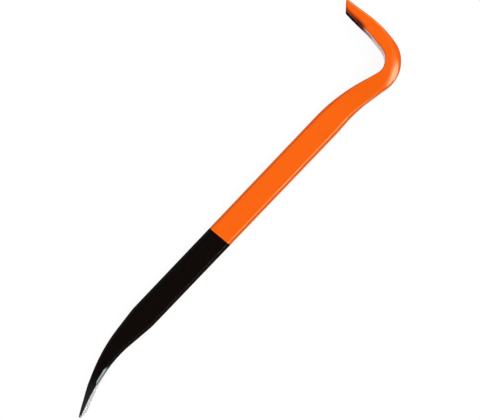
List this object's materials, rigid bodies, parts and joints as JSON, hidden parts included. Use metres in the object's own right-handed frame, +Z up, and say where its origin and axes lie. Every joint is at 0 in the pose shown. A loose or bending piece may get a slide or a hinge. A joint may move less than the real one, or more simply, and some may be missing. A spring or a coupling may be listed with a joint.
{
  "type": "wrecking bar",
  "caption": "Forged flat crowbar with a gooseneck nail-pulling claw, a straight chamfered shank and a curved chisel, half orange and half black.",
  "frame": {"origin": "middle of the outline's underside, as the bar lies flat on its broad side", "axes": "+X along the straight shank towards the hook, +Y towards the side that the claw points to, +Z up through the bar's thickness"},
  "size_m": [0.6008, 0.1156, 0.0413],
  "materials": {
    "steel": "bare forged steel, ground on the chisel's hollow side",
    "orange": "gloss baked enamel",
    "black": "gloss baked enamel"
  },
  "bodies": {
    "root": {"steel_bar": "steel", "orange_coat": "orange", "black_coat": "black"}
  },
  "joints": []
}
